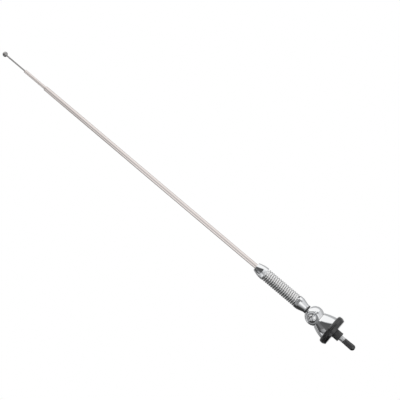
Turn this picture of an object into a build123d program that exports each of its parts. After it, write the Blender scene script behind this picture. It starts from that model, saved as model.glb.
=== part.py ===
from build123d import *
import math
import os

# A telescopic car aerial: a three-part mast on a spring, a clamped swivel ball and a bell foot.
# Sizes are millimetres. +Z runs up the mast, and the origin is the middle of the gasket's
# underside, where it meets the panel. The swivel screw lies along Y, with its head at -Y.

# Clearances, and how far a cutting body runs past the face it cuts
running_gap = 0.05
fixed_gap = 0.02
seat_gap = 0.35
stop_gap = 0.5
overrun = 1.0

# Fixing below the panel
collar_radius = 6.05
collar_length = 8.9
collar_shoulder_radius = 7.5
collar_round = 0.4
stud_radius = 4.0
stud_waist_radius = 3.6
stud_shown = 5.8
stud_engagement = 7.0
bar_bevel = 0.5
nose_radius = 2.6
nose_length = 14.5
nose_bevel = 0.8
cap_length = 17.2
cap_mouth_radius = 3.6
cap_swell_radius = 4.0
cap_bore_room = 0.8
cap_lip_round = 0.3

# Gasket
gasket_radius = 20.0
gasket_thickness = 9.5
gasket_rim_round = 3.2
gasket_underside_bevel = 1.8
gasket_edge_round = 0.6
gasket_groove_radius = 0.6
gasket_groove_pitch = 2.4
bell_recess_depth = 0.8

# Bell foot with its single ear
bell_foot_radius = 16.3
bell_bulge_height = 0.75
bell_wall = 2.0
bell_roof = 2.6
bell_rim_depth = 8.0
bell_rim_round = 0.2
boss_radius = 7.4
ear_root_depth = 6.9
ear_root_cove = 1.5
ear_sink = 3.0

# Swivel ball
ball_height = 32.9
ball_radius = 12.6
cast_round = 0.4
spot_face_depth = 9.2
spot_face_round = 2.5
ring_radius = 5.7
ring_height = 1.8
ring_round = 0.35
friction_washer_inset = 3.6
friction_washer_thickness = 0.4
screw_radius = 3.0
screw_head_radius = 5.5
screw_head_height = 3.3
screw_dome_radius = 7.5
screw_head_round = 0.5
screw_end_recess = 0.6
screw_end_bevel = 0.4
recess_slot_length = 5.0
recess_slot_width = 1.2
recess_depth = 1.8
recess_turn = 25
lock_washer_radius = 5.1
lock_washer_thickness = 1.0
lock_washer_slit = 0.9
lock_washer_slit_turn = 20
stem_radius = 3.0
stem_length = 7.5

# Ferrules and spring
lower_ferrule_length = 15.6
lower_neck_length = 1.5
lower_neck_cove = 3.0
lower_land_length = 5.5
lower_land_radius = 8.3
lower_shoulder_round = 18.0
upper_ferrule_length = 14.7
upper_land_length = 2.6
upper_land_radius = 8.4
upper_mouth_radius = 5.6
upper_mouth_round = 0.9
upper_bulge_height = 0.5
spigot_length = 6.0
spigot_gap = 0.2
spigot_bevel = 0.6
spring_length = 51.5
spring_radius = 8.25
spring_wire_radius = 1.3
spring_pitch = 2.88
braid_radius = 2.0
braid_socket_depth = 4.0

# Mast
lower_tube_radius = 3.1
lower_tube_shown = 346.2
middle_tube_radius = 2.1
middle_drawn_out = 33.6
rod_radius = 0.975
rod_drawn_out = 29.25
tube_wall = 0.4
tube_socket_depth = 9.0
lip_length = 2.2
lip_round = 0.55
plug_depth = 9.3
plug_bevel = 0.4
plug_tail_radius = 2.0
plug_tail_length = 5.0
foot_flange = 1.5
foot_groove_length = 6.0
foot_bevel = 0.2
foot_room = 3.0
middle_groove_depth = 0.85
middle_spigot_length = 5.0
rod_groove_depth = 0.65
rod_socket_depth = 3.5
contact_strip = 0.3
contact_slit = 0.9
stowed_proud = 2.0
tip_radius = 3.35
tip_flat_radius = 1.5

# Heights, stacked from the panel up
collar_foot = -collar_length
stud_shoulder = collar_foot - stud_shown
bell_foot = gasket_thickness - bell_recess_depth
bell_rim = ball_height - bell_rim_depth
ear_root = ball_height - ear_root_depth
ball_flat = ball_height + math.sqrt(ball_radius**2 - ring_radius**2)
ball_top = ball_height + ball_radius
lower_ferrule_foot = ball_flat + ring_height
spring_foot = lower_ferrule_foot + lower_ferrule_length
spring_top = spring_foot + spring_length
upper_ferrule_top = spring_top + upper_ferrule_length
tube_foot = upper_ferrule_top - tube_socket_depth
lower_tube_top = upper_ferrule_top + lower_tube_shown
middle_tube_top = lower_tube_top + middle_drawn_out
tip_foot = middle_tube_top + rod_drawn_out
tip_centre = tip_foot + math.sqrt(tip_radius**2 - tip_flat_radius**2)

# The ball's seat in the bell, and places across the swivel along Y
seat_radius = ball_radius + seat_gap
ear_root_radius = math.sqrt(ball_radius**2 - ear_root_depth**2)
cavity_roof = ball_height - seat_radius - bell_roof
head_far_face = ring_radius + 2 * running_gap
ear_face = head_far_face + friction_washer_thickness
screw_seat = spot_face_depth + lock_washer_thickness
friction_washer_radius = ball_radius - friction_washer_inset

# Bores and lengths of the mast's inner parts
spigot_radius = spring_radius - 2 * spring_wire_radius - spigot_gap
lower_bore = lower_tube_radius - tube_wall
middle_bore = middle_tube_radius - tube_wall
foot_length = 2 * foot_flange + foot_groove_length
middle_foot = tube_foot + plug_depth + foot_room + middle_drawn_out - stowed_proud
middle_tube_foot = middle_foot + foot_length
rod_travel_in = rod_drawn_out - stop_gap
rod_foot = middle_tube_foot + middle_spigot_length + foot_room + rod_travel_in
rod_collar_top = rod_foot + foot_length + rod_socket_depth - foot_flange


def turned(section):
    """Solid turned about the mast axis from a flat section of radius and height."""
    return revolve(Plane.XZ * section, Axis.Z)


def ring_section(inner, outer, low, high):
    """Upright rectangle between two radii and two heights."""
    middle = Pos((inner + outer) / 2, (low + high) / 2)
    return middle * Rectangle(outer - inner, high - low)


def polygon(*corners):
    """Flat section through corners given as radius and height."""
    return make_face(Polyline(*corners, close=True))


def rounded(section, corner, radius):
    """Flat section with the corner at a place rounded or coved."""
    return fillet(section.vertices().sort_by_distance(corner)[0], radius)


def rod(radius, low, high, bevel=0.0):
    """Upright round bar with both ends bevelled where a size is given."""
    bar = Pos(0, 0, (low + high) / 2) * Cylinder(radius, high - low)
    if bevel:
        bar = chamfer(bar.edges().filter_by(GeomType.CIRCLE), bevel)
    return bar


def layer(low, high):
    """Block that covers the whole aerial between two heights."""
    width = 4 * gasket_radius
    return Pos(0, 0, (low + high) / 2) * Box(width, width, high - low)


def slab(near, far):
    """Block that covers the whole ball between two places along Y."""
    width = 4 * ball_radius
    return Pos(0, (near + far) / 2, ball_height) * Box(width, far - near, width)


def across(radius, near, far):
    """Round bar along Y through the ball's centre, from near to far."""
    return Pos(0, (near + far) / 2, ball_height) * Rot(90, 0, 0) * Cylinder(radius, far - near)


def ball(radius):
    return Pos(0, 0, ball_height) * Sphere(radius)


def rims_across(body):
    """Circular edges that lie across the Y axis, from -Y to +Y."""
    return body.edges().filter_by(GeomType.CIRCLE).filter_by(Plane.XZ).sort_by(Axis.Y)


def stud_cap():
    """Round-ended cap pushed over the stud's nose, a little wider towards its end."""
    mouth = stud_shoulder
    tip = mouth - cap_length
    swell = tip + cap_swell_radius
    bore = nose_radius + running_gap
    bore_end = mouth - nose_length - cap_bore_room
    profile = Polyline((bore, mouth), (cap_mouth_radius, mouth), (cap_swell_radius, swell))
    profile += CenterArc((0, swell), cap_swell_radius, -90, 90)
    profile += Polyline((0, tip), (0, bore_end), (bore, bore_end), (bore, mouth))
    return turned(rounded(make_face(profile), (cap_mouth_radius, mouth), cap_lip_round))


def mounting_stud():
    """Stud screwed into the bell's boss, waisted inside the collar, with a plain contact nose."""
    stud = rod(stud_radius, stud_shoulder, bell_foot + stud_engagement, bar_bevel)
    stud -= turned(ring_section(stud_waist_radius, 2 * stud_radius, collar_foot, bell_foot))
    nose = rod(nose_radius, stud_shoulder - nose_length, stud_shoulder + overrun)
    end = nose.edges().filter_by(GeomType.CIRCLE).sort_by(Axis.Z)[0]
    return stud + chamfer(end, nose_bevel)


def collar():
    """Insulating bush that lines the panel's hole, with a shoulder inside the gasket."""
    bore = stud_radius + fixed_gap
    section = ring_section(bore, collar_radius, collar_foot, 0)
    section += ring_section(bore, collar_shoulder_radius, 0, bell_foot)
    return turned(rounded(section, (collar_radius, collar_foot), collar_round))


def gasket():
    """Thick rubber pad with a rounded, ribbed rim and a recess for the bell's foot."""
    bore = collar_shoulder_radius + fixed_gap
    recess = bell_foot_radius + fixed_gap
    rim_foot = 2 * gasket_underside_bevel
    underside = gasket_radius - gasket_underside_bevel
    section = polygon((bore, 0), (underside, 0), (gasket_radius, rim_foot),
                      (gasket_radius, gasket_thickness), (recess, gasket_thickness),
                      (recess, bell_foot), (bore, bell_foot))
    section = rounded(section, (gasket_radius, gasket_thickness), gasket_rim_round)
    section = rounded(section, (gasket_radius, rim_foot), gasket_edge_round)
    section = rounded(section, (underside, 0), gasket_edge_round)
    rim_middle = (rim_foot + gasket_thickness - gasket_rim_round) / 2
    for step in (-0.5, 0.5):
        height = rim_middle + step * gasket_groove_pitch
        section -= Pos(gasket_radius + gasket_groove_radius / 2, height) * Circle(gasket_groove_radius)
    return turned(section)


def bell_section(inset, low):
    """Flat section under the bell's curved flank, moved inwards by an inset."""
    foot = (bell_foot_radius - inset, low)
    root = (ear_root_radius - inset, ear_root)
    middle = ((foot[0] + root[0]) / 2 + bell_bulge_height, (low + ear_root) / 2)
    outline = ThreePointArc(foot, middle, root)
    return make_face(outline + Polyline(root, (0, ear_root), (0, low), foot))


def casting_blank():
    """Bell and ball in one turned outline, with a cove where they meet."""
    section = Pos(0, ball_height) * Circle(ball_radius)
    section &= ring_section(0, ball_radius, ear_root - ball_radius, ball_top)
    section += bell_section(0, bell_foot)
    return turned(rounded(section, (ear_root_radius, ear_root), ear_root_cove))


def bell_ear(blank):
    """The part of the blank beyond the ball's far face, with its inner edge rounded."""
    ear = blank & slab(ear_face, ball_radius + overrun)
    ear &= layer(bell_rim - ear_sink, ball_top)
    inner_face = ear.faces().filter_by(Plane.XZ).sort_by(Axis.Y)[0]
    curved_edges = [edge for edge in inner_face.edges() if edge.geom_type != GeomType.LINE]
    return fillet(curved_edges, cast_round)


def bell_cavity():
    """Hollow between the bell's wall and its central boss."""
    hollow = turned(bell_section(bell_wall, bell_foot - overrun))
    hollow -= layer(cavity_roof, ball_top)
    return hollow - rod(boss_radius, bell_foot - overrun, cavity_roof)


def base_bell():
    """Cast bell with a hollow seat for the ball and an ear beyond its far side."""
    blank = casting_blank()
    bell = blank - layer(bell_rim, ball_top + overrun)
    bell = fillet(bell.faces().sort_by(Axis.Z)[-1].edges(), bell_rim_round)
    bell += bell_ear(blank)
    bell -= ball(seat_radius) & slab(-seat_radius, ear_face)
    bell -= bell_cavity()
    bell -= rod(stud_radius + fixed_gap, bell_foot - overrun, bell_foot + stud_engagement + stop_gap)
    return bell - across(screw_radius + fixed_gap, ear_face - overrun, ball_radius + overrun)


def friction_washer():
    """Thin washer between the ball's far face and the ear."""
    disc = across(friction_washer_radius, head_far_face, ear_face)
    return disc - across(screw_radius + running_gap, head_far_face - overrun, ear_face + overrun)


def swivel_head():
    """Ball cut flat on both sides for the screw, with a stem for the ferrule above."""
    head = ball(ball_radius) & slab(-spot_face_depth, head_far_face)
    head = fillet(rims_across(head)[0], spot_face_round)
    head = fillet(rims_across(head)[-1], cast_round)
    head -= layer(ball_flat, ball_top)
    head += rod(stem_radius, ball_height + stem_radius, lower_ferrule_foot + stem_length, bar_bevel)
    return head - across(screw_radius + running_gap, -ball_radius, ball_radius)


def lock_washer():
    """Split spring washer under the screw's head."""
    washer = across(lock_washer_radius, -screw_seat, -spot_face_depth)
    washer -= across(screw_radius + running_gap, -screw_seat - overrun, -spot_face_depth + overrun)
    wall = lock_washer_radius - screw_radius
    slit = Box(lock_washer_slit, 4 * lock_washer_thickness, 2 * wall)
    slit_middle = Pos(0, -screw_seat, ball_height + screw_radius + wall / 2)
    return washer - slit_middle * Rot(0, lock_washer_slit_turn, 0) * slit


def cross_recess(crown):
    """Cross-shaped pocket sunk into the screw's head from its crown."""
    bar = Box(recess_slot_length, recess_depth, recess_slot_width)
    cross = bar + Rot(0, 90, 0) * bar
    return Pos(0, crown + recess_depth / 2, ball_height) * Rot(0, recess_turn, 0) * cross


def swivel_screw():
    """Dome-headed screw through the ball into the ear."""
    crown = -screw_seat - screw_head_height
    head = across(screw_head_radius, crown, -screw_seat)
    head &= Pos(0, crown + screw_dome_radius, ball_height) * Sphere(screw_dome_radius)
    head = fillet(rims_across(head)[0], screw_head_round)
    shank = across(screw_radius, -screw_seat - overrun, ball_radius - screw_end_recess)
    shank = chamfer(rims_across(shank)[-1], screw_end_bevel)
    return head + shank - cross_recess(crown)


def neck_ring():
    """Dark ring between the ball's flat top and the ferrule."""
    section = ring_section(stem_radius + fixed_gap, ring_radius, ball_flat, lower_ferrule_foot)
    return turned(fillet(section.vertices(), ring_round))


def lower_ferrule():
    """Flared ferrule that joins the ball's stem to the spring's foot."""
    foot = lower_ferrule_foot
    neck = (ring_radius, foot + lower_neck_length)
    shoulder = (lower_land_radius, spring_foot - lower_land_length)
    section = polygon((0, foot), (ring_radius, foot), neck, shoulder,
                      (lower_land_radius, spring_foot), (0, spring_foot))
    section = rounded(section, (ring_radius, foot), ring_round)
    section = rounded(section, neck, lower_neck_cove)
    section = rounded(section, shoulder, lower_shoulder_round)
    body = turned(rounded(section, (lower_land_radius, spring_foot), cast_round))
    body += rod(spigot_radius, spring_foot - overrun, spring_foot + spigot_length, spigot_bevel)
    body -= rod(stem_radius + fixed_gap, foot - overrun, foot + stem_length + stop_gap)
    socket = spring_foot + spigot_length - braid_socket_depth
    return body - rod(braid_radius + fixed_gap, socket, socket + spring_length)


def coil_spring():
    """Close-wound round-wire spring with both ends ground flat."""
    mean_radius = spring_radius - spring_wire_radius
    path = Pos(0, 0, spring_foot) * Helix(spring_pitch, spring_length, mean_radius)
    section = Plane(origin=path @ 0, z_dir=path % 0) * Circle(spring_wire_radius)
    coil = sweep(section, path, is_frenet=True)
    return coil & rod(2 * spring_radius, spring_foot, spring_top)


def core_braid():
    """Flexible conductor that bridges the spring from ferrule to ferrule."""
    low = spring_foot + spigot_length - braid_socket_depth
    high = spring_top - spigot_length + braid_socket_depth
    return rod(braid_radius, low, high)


def upper_ferrule():
    """Bullet-shaped ferrule that joins the spring's head to the mast."""
    land = (upper_land_radius, spring_top + upper_land_length)
    mouth = (upper_mouth_radius, upper_ferrule_top)
    middle = ((land[0] + mouth[0]) / 2 + upper_bulge_height, (land[1] + mouth[1]) / 2)
    outline = Polyline((0, spring_top), (upper_land_radius, spring_top), land)
    outline += ThreePointArc(land, middle, mouth)
    section = make_face(outline + Polyline(mouth, (0, upper_ferrule_top), (0, spring_top)))
    section = rounded(section, mouth, upper_mouth_round)
    body = turned(rounded(section, (upper_land_radius, spring_top), cast_round))
    body += rod(spigot_radius, spring_top - spigot_length, spring_top + overrun, spigot_bevel)
    body -= rod(lower_tube_radius + fixed_gap, tube_foot, upper_ferrule_top + overrun)
    tail_end = tube_foot - plug_tail_length - stop_gap
    body -= rod(plug_tail_radius + fixed_gap, tail_end, tube_foot + overrun)
    socket = spring_top - spigot_length + braid_socket_depth
    return body - rod(braid_radius + fixed_gap, socket - spring_length, socket)


def mast_plug():
    """Brass plug soldered into the lower tube and screwed into the ferrule."""
    body = rod(lower_bore - fixed_gap, tube_foot, tube_foot + plug_depth, plug_bevel)
    return body + rod(plug_tail_radius, tube_foot - plug_tail_length, tube_foot + overrun, plug_bevel)


def lipped_tube(radius, low, high, inner_radius):
    """Thin tube whose top is rolled in to guide the section inside it."""
    section = ring_section(radius - tube_wall, radius, low, high)
    section += ring_section(inner_radius + running_gap, radius, high - lip_length, high)
    return turned(rounded(section, (radius, high), lip_round))


def lower_tube():
    return lipped_tube(lower_tube_radius, tube_foot, lower_tube_top, middle_tube_radius)


def middle_tube():
    return lipped_tube(middle_tube_radius, middle_tube_foot, middle_tube_top, rod_radius)


def grooved_foot(foot, top, radius, groove_depth):
    """Turned foot with a groove that keeps its contact spring."""
    low = foot + foot_flange
    body = rod(radius, foot, top, foot_bevel)
    return body - turned(ring_section(radius - groove_depth, 2 * radius, low, low + foot_groove_length))


def contact_spring(foot, bore, groove_radius):
    """Bowed split sleeve that sits in a foot's groove and presses on the bore."""
    low = foot + foot_flange + running_gap
    high = low + foot_groove_length - 2 * running_gap
    inner = groove_radius + running_gap
    crest = bore - running_gap
    middle = (low + high) / 2
    end = inner + contact_strip
    outer_arc = ThreePointArc((end, low), (crest, middle), (end, high))
    inner_arc = ThreePointArc((inner, high), (crest - contact_strip, middle), (inner, low))
    outline = outer_arc + Line((end, high), (inner, high)) + inner_arc + Line((inner, low), (end, low))
    slit = Pos(bore, 0, middle) * Box(2 * bore, contact_slit, 2 * foot_groove_length)
    return turned(make_face(outline)) - slit


def middle_foot_plug():
    """Turned foot pressed into the middle tube's lower end."""
    body = grooved_foot(middle_foot, middle_tube_foot, lower_bore - running_gap, middle_groove_depth)
    spigot_top = middle_tube_foot + middle_spigot_length
    return body + rod(middle_bore - fixed_gap, middle_tube_foot - overrun, spigot_top, foot_bevel)


def middle_contact():
    return contact_spring(middle_foot, lower_bore, lower_bore - running_gap - middle_groove_depth)


def rod_foot_bush():
    """Turned bush soldered to the rod's lower end."""
    body = grooved_foot(rod_foot, rod_collar_top, middle_bore - running_gap, rod_groove_depth)
    return body - rod(rod_radius + fixed_gap, rod_collar_top - rod_socket_depth, rod_collar_top + overrun)


def rod_contact():
    return contact_spring(rod_foot, middle_bore, middle_bore - running_gap - rod_groove_depth)


def top_rod():
    return rod(rod_radius, rod_collar_top - rod_socket_depth, tip_centre)


def tip_ball():
    """Ball soldered on the rod's end, with a small flat underneath."""
    knob = Pos(0, 0, tip_centre) * Sphere(tip_radius)
    knob -= layer(tip_foot - 2 * tip_radius, tip_foot)
    return knob - rod(rod_radius + fixed_gap, tip_foot - overrun, tip_centre)


parts = {
    "stud_cap": stud_cap(),
    "mounting_stud": mounting_stud(),
    "collar": collar(),
    "gasket": gasket(),
    "base_bell": base_bell(),
    "friction_washer": friction_washer(),
    "swivel_head": swivel_head(),
    "lock_washer": lock_washer(),
    "swivel_screw": swivel_screw(),
    "neck_ring": neck_ring(),
    "lower_ferrule": lower_ferrule(),
    "coil_spring": coil_spring(),
    "core_braid": core_braid(),
    "upper_ferrule": upper_ferrule(),
    "mast_plug": mast_plug(),
    "lower_tube": lower_tube(),
    "middle_foot_plug": middle_foot_plug(),
    "middle_contact": middle_contact(),
    "middle_tube": middle_tube(),
    "rod_foot_bush": rod_foot_bush(),
    "rod_contact": rod_contact(),
    "top_rod": top_rod(),
    "tip_ball": tip_ball(),
}

os.makedirs("parts", exist_ok=True)
for node, shape in parts.items():
    export_step(shape, f"parts/{node}.step")
    print(node, round(shape.volume, 1), shape.is_valid, len(shape.solids()))

print("swivel axis height", round(ball_height, 3))
print("spring middle height", round((spring_foot + spring_top) / 2, 3))
print("middle slide", round(stowed_proud - middle_drawn_out, 3),
      round(lower_tube_top - lip_length - middle_tube_foot - stop_gap, 3))
print("rod slide", round(-rod_travel_in, 3),
      round(middle_tube_top - lip_length - rod_collar_top - stop_gap, 3))
print("heights", round(stud_shoulder - cap_length, 3), round(tip_centre + tip_radius, 3))
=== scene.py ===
import math

import bpy
from mathutils import Matrix, Vector


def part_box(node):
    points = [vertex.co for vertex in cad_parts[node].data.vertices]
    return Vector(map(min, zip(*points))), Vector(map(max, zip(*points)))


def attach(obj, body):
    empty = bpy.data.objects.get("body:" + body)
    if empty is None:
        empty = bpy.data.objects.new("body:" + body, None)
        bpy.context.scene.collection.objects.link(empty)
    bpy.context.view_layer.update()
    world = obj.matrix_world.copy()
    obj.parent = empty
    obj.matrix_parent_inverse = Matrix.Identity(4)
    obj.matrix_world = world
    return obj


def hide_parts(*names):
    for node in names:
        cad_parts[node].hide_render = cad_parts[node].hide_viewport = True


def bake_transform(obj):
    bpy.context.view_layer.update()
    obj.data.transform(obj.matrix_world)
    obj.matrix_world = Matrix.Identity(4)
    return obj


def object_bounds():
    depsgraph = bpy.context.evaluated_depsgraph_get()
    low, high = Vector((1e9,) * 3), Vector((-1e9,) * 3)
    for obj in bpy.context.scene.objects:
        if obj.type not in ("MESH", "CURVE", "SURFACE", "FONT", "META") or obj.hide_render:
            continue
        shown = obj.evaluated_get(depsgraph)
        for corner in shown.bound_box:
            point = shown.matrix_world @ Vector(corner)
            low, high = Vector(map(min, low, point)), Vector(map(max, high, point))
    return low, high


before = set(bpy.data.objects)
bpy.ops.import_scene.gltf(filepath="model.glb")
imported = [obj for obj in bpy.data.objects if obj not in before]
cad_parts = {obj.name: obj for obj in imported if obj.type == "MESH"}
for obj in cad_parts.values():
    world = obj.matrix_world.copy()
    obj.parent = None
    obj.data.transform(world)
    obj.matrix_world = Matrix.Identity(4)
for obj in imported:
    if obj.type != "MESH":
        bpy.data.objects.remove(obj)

cad_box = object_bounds()

# Where the photograph shows the middle of the gasket's underside and of the tip ball, in pixels of its
# own frame, and from which side: the azimuth turns from -Y towards +X. Lengths are in metres
# throughout, apart from the sensor's width, which is in millimetres.
FRAME_PIXELS = 400
GASKET_PIXEL = (334.9, 332.9)
TIP_PIXEL = (5.1, 54.2)
VIEW_AZIMUTH = math.radians(29)
VIEW_ELEVATION = math.radians(-4.5)
CAMERA_DISTANCE = 5.0
CAMERA_REACH = 20
SENSOR_WIDTH = 36.0

# Floor well below the part, and how much of it the camera sees as an even glow
FLOOR_DROP = 0.45
FLOOR_REACH = 2.0
FLOOR_COLOUR = (0.9, 0.9, 0.9)
FLOOR_GLOW = 1.1
FLOOR_GLOW_SHARE = 0.7

# Light from all round, the white that the camera and reflections see instead, and the lamp
SOFT_STRENGTH = 0.7
WHITE_STRENGTH = 1.0
LAMP_SIZE = 2.4
LAMP_POWER = 18
LAMP_SIDE = 1.7
LAMP_FRONT = 1.0
LAMP_RISE = 0.8

# Dome of grey screens that only reflections see: its radius and rise, the degrees between its rows
# and columns, the step inwards from each screen to the next, and their cool tint
DOME_RADIUS = 4.0
DOME_RISE = 0.05
DOME_STEP = 6
DOME_LAYER = 0.02
SCREEN_TINT = (0.975, 0.985, 1.0)

# The screens. Each has the turns of its left and right side, the lifts of its foot and head, and the
# greys at its left and right. Where it leans, a fourth pair gives the turns at its head. A turn counts
# from the camera's direction to the right and a lift from level, both in degrees. A later screen
# stands in front of an earlier one.
SCREENS = {
    # Behind the part and below level: mirrored by undersides and by the far edges of round pieces
    "behind_high": ((-178, -106), (2, 60), (0.50, 0.28)),
    "behind_low": ((-178, -118), (-45, 3.8), (0.22, 0.05)),
    "low_far": ((-178, -54), (-88, -45), (0.04, 0.03)),
    "low_near": ((-30, -6), (-88, -52), (0.05, 0.08)),
    "dark_low": ((-120, -60), (-45, 3.8), (0.03, 0.05)),
    "low_fade": ((-62, -20), (-52, -3), (0.06, 0.52)),
    "low_stripe": ((-52, -28), (-88, -32), (1.0, 1.0)),
    "low_fade_right": ((-20, 2), (-52, -3), (0.52, 0.95)),
    "low_right": ((30, 105), (-85, -4), (0.72, 0.72)),
    "level": ((-72, 44), (-4, 3.8), (0.24, 0.24)),
    "eyebrow": ((40, 62), (-16, 6), (0.24, 0.36), (36, 58)),
    # Just above level: mirrored by the upright mast
    "mast_low": ((-128, -34), (3.8, 10), (0.80, 0.90)),
    "mast_line": ((-34, -4), (3.8, 18), (0.52, 0.56)),
    "mast_right": ((-4, 60), (3.8, 18), (0.58, 0.95)),
    "mast_high": ((-128, -34), (10, 18), (0.16, 0.78)),
    "mast_edge": ((-178, -96), (3.8, 10), (0.16, 0.26)),
    "mast_dark": ((-30, -4), (10, 18), (0.34, 0.34)),
    "mast_spot": ((-60, -36), (3.8, 12), (1.0, 1.0)),
    # Higher: mirrored by the bell's flank and by the upper half of the ball
    "wedge_left": ((-106, -66), (18, 48), (0.05, 0.09), (-100, -66)),
    "wedge_pale": ((-66, -32), (18, 48), (0.18, 0.15)),
    "wedge": ((-32, 46), (18, 48), (0.11, 0.09), (-32, -2)),
    "wedge_fade": ((46, 56), (18, 48), (0.10, 0.80), (-2, 8)),
    "wedge_top": ((-100, -6), (48, 57), (0.15, 0.20), (-90, -22)),
    "high_left": ((-178, -56), (57, 88), (0.40, 0.03)),
    "high_dark": ((-28, -8), (57, 88), (0.08, 0.08)),
    # In front of the rest: two glints, and the right edge of round pieces
    "wedge_glow": ((-80, -38), (20, 28), (0.20, 0.42)),
    "bright_spot": ((-106, -88), (13, 20), (0.75, 0.70)),
    "right_edge": ((86, 148), (-60, 60), (0.56, 0.40), (112, 148)),
}

# Materials: the octaves of the noise, the parts of its range that roughness and colour follow, and
# what the black pieces share
NOISE_DETAIL = 4.0
ROUGHNESS_NOISE = (0.3, 0.7)
COLOUR_NOISE = (0.35, 0.65)
BUMP_STRENGTH = 0.4
BLACK_SPECULAR = 0.9
BLACK_CLOUD_SCALE = 160
BLACK_SMOOTHER = 0.06
BLACK_ROUGHER = 0.08

# Colour sockets of the Mix node, which share their names with its other sockets
MIX_FIRST = 6
MIX_SECOND = 7
MIX_RESULT = 2

# Spring and its wire
COIL_SEGMENTS = 56
WIRE_SEGMENTS = 18
SPRING_PITCH = 0.00288
SPRING_WIRE_RADIUS = 0.0013

# Painted shade on the wire between the coils: its colour, and the cosines from the wire's outermost line
# at which it starts and over which it fades in
PAINTED_GAP_SHADE_ATTRIBUTE = "painted_gap_shade"
PAINTED_GAP_SHADE_COLOUR = (0.18, 0.18, 0.18)
PAINTED_SHADE_EDGE = 0.5
PAINTED_SHADE_FADE = 0.35

# Core braid: its rows and columns of points, the strands each way round, the twists of the weave
# along it, and the share of its radius that the weave takes up
BRAID_ROWS = 120
BRAID_COLUMNS = 48
BRAID_STRANDS = 6
BRAID_TWISTS = 20
BRAID_RELIEF = 0.06

# Thread of the stud, with the shares of a pitch that are flat at its crests and in its roots
THREAD_PITCH = 0.00125
THREAD_DEPTH = 0.00062
THREAD_CREST = 0.125
THREAD_ROOT = 0.25
THREAD_COLUMNS = 72
THREAD_ROWS_PER_TURN = 12

# Stud, which has a plain nose, the thread that shows, a waist and the thread in the bell
STUD_RADIUS = 0.004
STUD_WAIST_RADIUS = 0.0036
STUD_NOSE_RADIUS = 0.0026
STUD_NOSE_LENGTH = 0.0145
STUD_SHOWN = 0.0058
STUD_ENGAGEMENT = 0.007
STUD_BEVEL = 0.0005
NOSE_BEVEL = 0.0008


def centre_height(node):
    low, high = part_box(node)
    return (low.z + high.z) / 2


def link(name, data):
    """Puts a camera, lamp or mesh into the scene."""
    thing = bpy.data.objects.new(name, data)
    bpy.context.scene.collection.objects.link(thing)
    return thing


def make_camera():
    """Long-lens camera that puts the gasket's underside and the mast's tip on their pixels.

    Returns two level directions: the camera's right, and the one from the part to the camera.
    """
    tip_height = centre_height("tip_ball")
    tip_depth = CAMERA_DISTANCE - tip_height * math.sin(VIEW_ELEVATION)
    middle = FRAME_PIXELS / 2
    foot = Vector((GASKET_PIXEL[0] - middle, middle - GASKET_PIXEL[1])) * CAMERA_DISTANCE
    tip = Vector((TIP_PIXEL[0] - middle, middle - TIP_PIXEL[1])) * tip_depth
    mast = tip - foot
    pixels_per_unit = mast.length / (tip_height * math.cos(VIEW_ELEVATION))
    roll = math.atan2(-mast.x, mast.y)
    side = Vector((math.cos(VIEW_AZIMUTH), math.sin(VIEW_AZIMUTH), 0))
    front = Vector((math.sin(VIEW_AZIMUTH), -math.cos(VIEW_AZIMUTH), 0))
    back = front * math.cos(VIEW_ELEVATION) + Vector((0, 0, math.sin(VIEW_ELEVATION)))
    upright = back.cross(side)
    right = math.cos(roll) * side - math.sin(roll) * upright
    up = math.sin(roll) * side + math.cos(roll) * upright
    place = back * CAMERA_DISTANCE - (right * foot.x + up * foot.y) / pixels_per_unit
    data = bpy.data.cameras.new("camera")
    data.sensor_width = SENSOR_WIDTH
    data.lens = SENSOR_WIDTH * pixels_per_unit / FRAME_PIXELS
    data.clip_end = CAMERA_REACH
    camera = link("camera", data)
    camera.matrix_world = Matrix.Translation(place) @ Matrix((right, up, back)).transposed().to_4x4()
    bpy.context.scene.camera = camera
    return side, front


def mesh_piece(name, points, faces):
    """Smooth-shaded piece from points and faces."""
    mesh = bpy.data.meshes.new(name)
    mesh.from_pydata([tuple(point) for point in points], [], faces)
    mesh.validate()
    mesh.polygons.foreach_set("use_smooth", [True] * len(mesh.polygons))
    mesh.update()
    return link(name, mesh)


def tube_mesh(name, rings):
    """Piece with closed ends through rings of points, each ring with as many points."""
    size = len(rings[0])
    points = [point for ring in rings for point in ring]
    faces = []
    for row in range(len(rings) - 1):
        for column in range(size):
            beside = (column + 1) % size
            faces.append((row * size + column, row * size + beside,
                          (row + 1) * size + beside, (row + 1) * size + column))
    faces.append(tuple(reversed(range(size))))
    faces.append(tuple(range((len(rings) - 1) * size, len(rings) * size)))
    return mesh_piece(name, points, faces)


def add_node(tree, kind, **settings):
    node = tree.nodes.new(kind)
    for name, value in settings.items():
        setattr(node, name, value)
    return node


def empty_material(name):
    material = bpy.data.materials.new(name)
    material.use_nodes = True
    material.node_tree.nodes.clear()
    return material, material.node_tree


def add_mix(tree, share, first, second, output_kind):
    """Sends two shaders to the output, the second one by a share from 0 to 1."""
    mix = add_node(tree, "ShaderNodeMixShader")
    output = add_node(tree, output_kind)
    tree.links.new(share, mix.inputs[0])
    tree.links.new(first.outputs[0], mix.inputs[1])
    tree.links.new(second.outputs[0], mix.inputs[2])
    tree.links.new(mix.outputs[0], output.inputs["Surface"])


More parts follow.
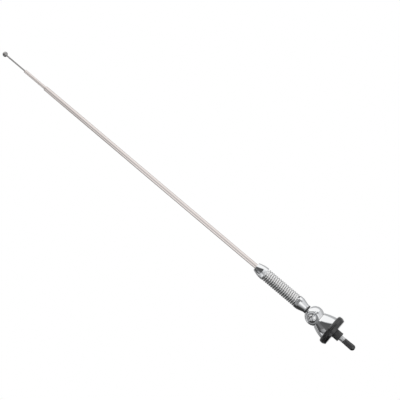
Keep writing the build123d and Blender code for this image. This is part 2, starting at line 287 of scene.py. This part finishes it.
def make_floor():
    """Wide pale floor, nearly white to the camera, with a faint shadow on it."""
    height = cad_box[0].z - FLOOR_DROP
    corners = [(-1, -1), (1, -1), (1, 1), (-1, 1)]
    floor = mesh_piece("floor", [(FLOOR_REACH * x, FLOOR_REACH * y, height) for x, y in corners],
                       [(0, 1, 2, 3)])
    material, tree = empty_material("floor_white")
    matt = add_node(tree, "ShaderNodeBsdfDiffuse")
    matt.inputs["Color"].default_value = (*FLOOR_COLOUR, 1)
    glow = add_node(tree, "ShaderNodeEmission")
    glow.inputs["Strength"].default_value = FLOOR_GLOW
    path = add_node(tree, "ShaderNodeLightPath")
    share = add_node(tree, "ShaderNodeMath", operation="MULTIPLY")
    share.inputs[1].default_value = FLOOR_GLOW_SHARE
    tree.links.new(path.outputs["Is Camera Ray"], share.inputs[0])
    add_mix(tree, share.outputs[0], matt, glow, "ShaderNodeOutputMaterial")
    floor.data.materials.append(material)
    floor.visible_glossy = False


def add_background(tree, strength):
    background = add_node(tree, "ShaderNodeBackground")
    background.inputs["Color"].default_value = (1, 1, 1, 1)
    background.inputs["Strength"].default_value = strength
    return background


def make_world():
    """Even soft light, and a white background for the camera and for reflections."""
    world = bpy.data.worlds.new("studio")
    bpy.context.scene.world = world
    world.use_nodes = True
    tree = world.node_tree
    tree.nodes.clear()
    soft = add_background(tree, SOFT_STRENGTH)
    white = add_background(tree, WHITE_STRENGTH)
    path = add_node(tree, "ShaderNodeLightPath")
    seen = path.outputs["Is Camera Ray"]
    for ray in ("Is Glossy Ray", "Is Transmission Ray"):
        either = add_node(tree, "ShaderNodeMath", operation="MAXIMUM")
        tree.links.new(seen, either.inputs[0])
        tree.links.new(path.outputs[ray], either.inputs[1])
        seen = either.outputs[0]
    add_mix(tree, seen, soft, white, "ShaderNodeOutputWorld")


def add_lamp(side, front):
    """Wide soft lamp to the right of the part, in front of it and above it."""
    middle = (cad_box[0] + cad_box[1]) / 2
    place = middle + side * LAMP_SIDE + front * LAMP_FRONT + Vector((0, 0, LAMP_RISE))
    data = bpy.data.lights.new("key", "AREA")
    data.shape = "SQUARE"
    data.size = LAMP_SIZE
    data.energy = LAMP_POWER
    lamp = link("key", data)
    lamp.visible_glossy = False
    lamp.location = place
    lamp.rotation_mode = "QUATERNION"
    lamp.rotation_quaternion = (middle - place).to_track_quat("-Z", "Y")


def screen_mesh(name, screen, radius, side, front):
    """Patch of the dome, with its grey at each point."""
    foot, lifts, greys = screen[:3]
    head = screen[3] if len(screen) > 3 else foot
    columns = math.ceil(max(foot[1] - foot[0], head[1] - head[0]) / DOME_STEP)
    rows = math.ceil((lifts[1] - lifts[0]) / DOME_STEP)
    points = []
    shades = []
    for row in range(rows + 1):
        rise = row / rows
        lift = math.radians(lifts[0] + (lifts[1] - lifts[0]) * rise)
        left = foot[0] + (head[0] - foot[0]) * rise
        right = foot[1] + (head[1] - foot[1]) * rise
        for column in range(columns + 1):
            share = column / columns
            turn = math.radians(left + (right - left) * share)
            level = front * math.cos(turn) + side * math.sin(turn)
            place = level * math.cos(lift) + Vector((0, 0, math.sin(lift)))
            points.append(place * radius + Vector((0, 0, DOME_RISE)))
            shades.append(greys[0] + (greys[1] - greys[0]) * share)
    faces = []
    for row in range(rows):
        for column in range(columns):
            corner = row * (columns + 1) + column
            faces.append((corner, corner + 1, corner + columns + 2, corner + columns + 1))
    patch = mesh_piece(name, points, faces)
    patch.data.attributes.new("shade", "FLOAT", "POINT").data.foreach_set("value", shades)
    return patch


def add_screen(name, screen, radius, side, front):
    """One screen of the dome, which shines in reflections and lights nothing else."""
    patch = screen_mesh(name, screen, radius, side, front)
    material, tree = empty_material(name)
    shade = add_node(tree, "ShaderNodeAttribute", attribute_name="shade")
    glow = add_node(tree, "ShaderNodeEmission")
    glow.inputs["Color"].default_value = (*SCREEN_TINT, 1)
    output = add_node(tree, "ShaderNodeOutputMaterial")
    tree.links.new(shade.outputs["Fac"], glow.inputs["Strength"])
    tree.links.new(glow.outputs[0], output.inputs["Surface"])
    patch.data.materials.append(material)
    patch.visible_camera = False
    patch.visible_diffuse = False
    patch.visible_shadow = False


def make_studio(side, front):
    make_world()
    make_floor()
    add_lamp(side, front)
    for layer, (name, screen) in enumerate(SCREENS.items()):
        add_screen("screen_" + name, screen, DOME_RADIUS - layer * DOME_LAYER, side, front)


def new_material(name, colour, metallic, roughness):
    material = bpy.data.materials.new(name)
    material.use_nodes = True
    tree = material.node_tree
    shader = tree.nodes["Principled BSDF"]
    shader.inputs["Base Color"].default_value = (*colour, 1)
    shader.inputs["Metallic"].default_value = metallic
    shader.inputs["Roughness"].default_value = roughness
    return material, tree, shader


def stretched_noise(tree, scale, stretch=1):
    """Noise in the part's frame, drawn out along the mast by a stretch above one."""
    place = add_node(tree, "ShaderNodeTexCoord")
    mapping = add_node(tree, "ShaderNodeMapping")
    mapping.inputs["Scale"].default_value = (1, 1, 1 / stretch)
    noise = add_node(tree, "ShaderNodeTexNoise")
    noise.inputs["Scale"].default_value = scale
    noise.inputs["Detail"].default_value = NOISE_DETAIL
    tree.links.new(place.outputs["Object"], mapping.inputs["Vector"])
    tree.links.new(mapping.outputs["Vector"], noise.inputs["Vector"])
    return noise.outputs["Fac"]


def vary_roughness(tree, shader, noise, smooth, rough):
    """Lets the roughness follow a noise from smooth to rough."""
    reach = add_node(tree, "ShaderNodeMapRange")
    reach.inputs["From Min"].default_value = ROUGHNESS_NOISE[0]
    reach.inputs["From Max"].default_value = ROUGHNESS_NOISE[1]
    reach.inputs["To Min"].default_value = smooth
    reach.inputs["To Max"].default_value = rough
    tree.links.new(noise, reach.inputs["Value"])
    tree.links.new(reach.outputs["Result"], shader.inputs["Roughness"])


def blend_colours(tree, noise, dark, light):
    """Colour that follows a noise from dark to light."""
    ramp = add_node(tree, "ShaderNodeValToRGB")
    for element, position, colour in zip(ramp.color_ramp.elements, COLOUR_NOISE, (dark, light)):
        element.position = position
        element.color = (*colour, 1)
    tree.links.new(noise, ramp.inputs["Fac"])
    return ramp.outputs["Color"]


def vary_colour(tree, shader, noise, dark, light):
    """Lets the colour follow a noise from dark to light."""
    tree.links.new(blend_colours(tree, noise, dark, light), shader.inputs["Base Color"])


def add_bump(tree, shader, noise, depth):
    bump = add_node(tree, "ShaderNodeBump")
    bump.inputs["Strength"].default_value = BUMP_STRENGTH
    bump.inputs["Distance"].default_value = depth
    tree.links.new(noise, bump.inputs["Height"])
    tree.links.new(bump.outputs["Normal"], shader.inputs["Normal"])


def cast_chrome():
    """Polished plate over a casting, with faint waves and handling marks."""
    material, tree, shader = new_material("cast_chrome", (0.92, 0.925, 0.93), metallic=1, roughness=0.05)
    waves = stretched_noise(tree, scale=90)
    marks = stretched_noise(tree, scale=900)
    vary_roughness(tree, shader, marks, smooth=0.04, rough=0.08)
    vary_colour(tree, shader, waves, dark=(0.90, 0.91, 0.92), light=(0.94, 0.94, 0.945))
    add_bump(tree, shader, waves, depth=0.00004)
    return material


def spring_chrome():
    """Plated spring wire, bright outside, with painted shade on it between the coils."""
    material, tree, shader = new_material("spring_chrome", (0.95, 0.945, 0.94), metallic=1, roughness=0.07)
    grain = stretched_noise(tree, scale=1400)
    vary_roughness(tree, shader, grain, smooth=0.04, rough=0.09)
    plate = blend_colours(tree, grain, dark=(0.94, 0.935, 0.93), light=(0.97, 0.965, 0.96))
    # Painted shade: the plate's colour goes towards a dark grey where the wire faces the next coil
    gap_shade = add_node(tree, "ShaderNodeAttribute", attribute_name=PAINTED_GAP_SHADE_ATTRIBUTE)
    shade_mix = add_node(tree, "ShaderNodeMix", data_type="RGBA")
    shade_mix.inputs[MIX_SECOND].default_value = (*PAINTED_GAP_SHADE_COLOUR, 1)
    tree.links.new(gap_shade.outputs["Fac"], shade_mix.inputs["Factor"])
    tree.links.new(plate, shade_mix.inputs[MIX_FIRST])
    tree.links.new(shade_mix.outputs[MIX_RESULT], shader.inputs["Base Color"])
    return material


def mast_chrome():
    """Warm bright plate on drawn tube, with fine lines along the mast."""
    material, tree, shader = new_material("mast_chrome", (0.89, 0.815, 0.78), metallic=1, roughness=0.08)
    lines = stretched_noise(tree, scale=2600, stretch=60)
    cloud = stretched_noise(tree, scale=60, stretch=4)
    vary_roughness(tree, shader, lines, smooth=0.05, rough=0.11)
    vary_colour(tree, shader, cloud, dark=(0.87, 0.795, 0.76), light=(0.91, 0.835, 0.80))
    add_bump(tree, shader, lines, depth=0.000004)
    return material


def drawn_steel():
    """Bare drawn rod and its polished ball."""
    material, tree, shader = new_material("drawn_steel", (0.44, 0.43, 0.42), metallic=1, roughness=0.2)
    lines = stretched_noise(tree, scale=2600, stretch=40)
    vary_roughness(tree, shader, lines, smooth=0.14, rough=0.26)
    vary_colour(tree, shader, lines, dark=(0.40, 0.39, 0.38), light=(0.48, 0.47, 0.46))
    return material


def plated_steel():
    """Zinc plate on screws and threads."""
    material, tree, shader = new_material("plated_steel", (0.88, 0.88, 0.885), metallic=1, roughness=0.17)
    grain = stretched_noise(tree, scale=700)
    vary_roughness(tree, shader, grain, smooth=0.13, rough=0.22)
    vary_colour(tree, shader, grain, dark=(0.85, 0.85, 0.85), light=(0.91, 0.91, 0.92))
    return material


def turned_brass():
    """Bare brass with turning marks, which are noise squeezed along the mast."""
    material, tree, shader = new_material("turned_brass", (0.74, 0.57, 0.28), metallic=1, roughness=0.25)
    rings = stretched_noise(tree, scale=900, stretch=0.05)
    vary_roughness(tree, shader, rings, smooth=0.18, rough=0.32)
    vary_colour(tree, shader, rings, dark=(0.68, 0.51, 0.24), light=(0.80, 0.63, 0.34))
    return material


def tinned_copper():
    """Stained copper strands with patches of tin."""
    material, tree, shader = new_material("tinned_copper", (0.72, 0.46, 0.32), metallic=1, roughness=0.35)
    stain = stretched_noise(tree, scale=500)
    vary_colour(tree, shader, stain, dark=(0.62, 0.36, 0.24), light=(0.78, 0.58, 0.46))
    return material


def moulded_black(name, dark, light, roughness, grain_scale, grain_depth):
    """Black rubber or plastic with a fine moulded grain and slightly uneven sheen."""
    material, tree, shader = new_material(name, dark, metallic=0, roughness=roughness)
    shader.inputs["Specular IOR Level"].default_value = BLACK_SPECULAR
    grain = stretched_noise(tree, grain_scale)
    cloud = stretched_noise(tree, BLACK_CLOUD_SCALE)
    vary_roughness(tree, shader, cloud, roughness - BLACK_SMOOTHER, roughness + BLACK_ROUGHER)
    vary_colour(tree, shader, cloud, dark, light)
    add_bump(tree, shader, grain, grain_depth)
    return material


def gasket_rubber():
    return moulded_black("gasket_rubber", dark=(0.007, 0.007, 0.008), light=(0.013, 0.013, 0.014),
                         roughness=0.16, grain_scale=2600, grain_depth=0.00001)


def collar_plastic():
    return moulded_black("collar_plastic", dark=(0.020, 0.020, 0.021), light=(0.030, 0.030, 0.031),
                         roughness=0.42, grain_scale=1800, grain_depth=0.00003)


def cap_vinyl():
    return moulded_black("cap_vinyl", dark=(0.014, 0.014, 0.015), light=(0.022, 0.022, 0.023),
                         roughness=0.28, grain_scale=900, grain_depth=0.00002)


def washer_fibre():
    return moulded_black("washer_fibre", dark=(0.05, 0.045, 0.04), light=(0.08, 0.07, 0.06),
                         roughness=0.7, grain_scale=2000, grain_depth=0.00006)


def dress(material, *names):
    """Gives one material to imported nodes."""
    for name in names:
        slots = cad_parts[name].data.materials
        slots.clear()
        slots.append(material)


def paint_gap_shade(piece, ring_count):
    """Stores how far each point of the wire lies between the coils, where shade is painted on the plate.
    """
    outwards = [math.cos(2 * math.pi * corner / WIRE_SEGMENTS) for corner in range(WIRE_SEGMENTS)]
    shade_shares = [min(max((PAINTED_SHADE_EDGE - outward) / PAINTED_SHADE_FADE, 0), 1) for outward in outwards]
    shade_attribute = piece.data.attributes.new(PAINTED_GAP_SHADE_ATTRIBUTE, "FLOAT", "POINT")
    shade_attribute.data.foreach_set("value", shade_shares * ring_count)


def add_coils(material):
    """Round wire wound right-handed, with both ends ground flat on the ferrules."""
    low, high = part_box("coil_spring")
    mean_radius = high.x - SPRING_WIRE_RADIUS
    turns = (high.z - low.z) / SPRING_PITCH
    slope = math.atan2(SPRING_PITCH, 2 * math.pi * mean_radius)
    rings = []
    for step in range(round(turns * COIL_SEGMENTS) + 1):
        angle = 2 * math.pi * step / COIL_SEGMENTS
        height = low.z + SPRING_PITCH * step / COIL_SEGMENTS
        outward = Vector((math.cos(angle), math.sin(angle), 0))
        along = Vector((-math.sin(angle), math.cos(angle), 0))
        rise = Vector((0, 0, math.cos(slope))) - along * math.sin(slope)
        centre = outward * mean_radius + Vector((0, 0, height))
        ring = []
        for corner in range(WIRE_SEGMENTS):
            turn = -2 * math.pi * corner / WIRE_SEGMENTS
            point = centre + SPRING_WIRE_RADIUS * (math.cos(turn) * outward + math.sin(turn) * rise)
            point.z = min(max(point.z, low.z), high.z)
            ring.append(point)
        rings.append(ring)
    piece = tube_mesh("spring_coils", rings)
    paint_gap_shade(piece, len(rings))
    piece.data.materials.append(material)
    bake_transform(piece)
    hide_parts("coil_spring")


def add_core_braid(material):
    """Woven conductor inside the spring."""
    low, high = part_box("core_braid")
    rings = []
    for row in range(BRAID_ROWS + 1):
        share = row / BRAID_ROWS
        twist = 2 * math.pi * BRAID_TWISTS * share
        ring = []
        for column in range(BRAID_COLUMNS):
            angle = 2 * math.pi * column / BRAID_COLUMNS
            weave = math.cos(BRAID_STRANDS * angle + twist) * math.cos(BRAID_STRANDS * angle - twist)
            reach = high.x * (1 - BRAID_RELIEF + BRAID_RELIEF * weave)
            ring.append(Vector((reach * math.cos(angle), reach * math.sin(angle),
                                low.z + (high.z - low.z) * share)))
        rings.append(ring)
    piece = tube_mesh("spring_core_braid", rings)
    piece.data.materials.append(material)
    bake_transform(piece)
    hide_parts("core_braid")


def thread_rows(foot, top, foot_bevel, top_bevel):
    """Height, radius and thread depth of each row of points on a threaded stretch of the stud."""
    rows = round((top - foot) / (THREAD_PITCH / THREAD_ROWS_PER_TURN))
    profile = []
    for row in range(rows + 1):
        height = foot + (top - foot) * row / rows
        bevel = max(foot_bevel - (height - foot), top_bevel - (top - height), 0)
        profile.append((height, STUD_RADIUS - bevel, THREAD_DEPTH))
    return profile


def thread_cut(phase):
    """Share of the thread's depth that is cut away, at a phase from 0 at one crest to 1 at the next."""
    from_crest = min(phase, 1 - phase) * 2
    flank = 1 - THREAD_CREST - THREAD_ROOT
    return min(max((from_crest - THREAD_CREST) / flank, 0), 1)


def add_stud(material):
    """Mounting stud with its thread cut below the collar and inside the bell."""
    low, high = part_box("mounting_stud")
    shoulder = low.z + STUD_NOSE_LENGTH
    waist_low = shoulder + STUD_SHOWN
    waist_high = high.z - STUD_ENGAGEMENT
    nose = [(low.z, STUD_NOSE_RADIUS - NOSE_BEVEL, 0), (low.z + NOSE_BEVEL, STUD_NOSE_RADIUS, 0),
            (shoulder, STUD_NOSE_RADIUS, 0)]
    shown = thread_rows(shoulder, waist_low, foot_bevel=STUD_BEVEL, top_bevel=0)
    waist = [(waist_low, STUD_WAIST_RADIUS, 0), (waist_high, STUD_WAIST_RADIUS, 0)]
    engaged = thread_rows(waist_high, high.z, foot_bevel=0, top_bevel=STUD_BEVEL)
    rings = []
    for height, radius, depth in nose + shown + waist + engaged:
        ring = []
        for column in range(THREAD_COLUMNS):
            share = column / THREAD_COLUMNS
            angle = 2 * math.pi * share
            cut = depth * thread_cut((height / THREAD_PITCH - share) % 1)
            reach = min(radius, STUD_RADIUS - cut)
            ring.append(Vector((reach * math.cos(angle), reach * math.sin(angle), height)))
        rings.append(ring)
    piece = tube_mesh("threaded_stud", rings)
    piece.data.materials.append(material)
    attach(piece, "base")
    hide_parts("mounting_stud")


# Camera and studio
side, front = make_camera()
bpy.context.scene.view_settings.view_transform = "Standard"
make_studio(side, front)

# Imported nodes, each in its material
zinc = plated_steel()
dress(gasket_rubber(), "gasket")
dress(collar_plastic(), "collar", "neck_ring")
dress(cap_vinyl(), "stud_cap")
dress(washer_fibre(), "friction_washer")
dress(cast_chrome(), "base_bell", "swivel_head", "lower_ferrule", "upper_ferrule")
dress(mast_chrome(), "lower_tube", "middle_tube")
dress(drawn_steel(), "top_rod", "tip_ball")
dress(zinc, "swivel_screw", "lock_washer")
dress(turned_brass(), "mast_plug", "middle_foot_plug", "middle_contact", "rod_foot_bush", "rod_contact")

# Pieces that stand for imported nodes
add_coils(spring_chrome())
add_core_braid(tinned_copper())
add_stud(zinc)
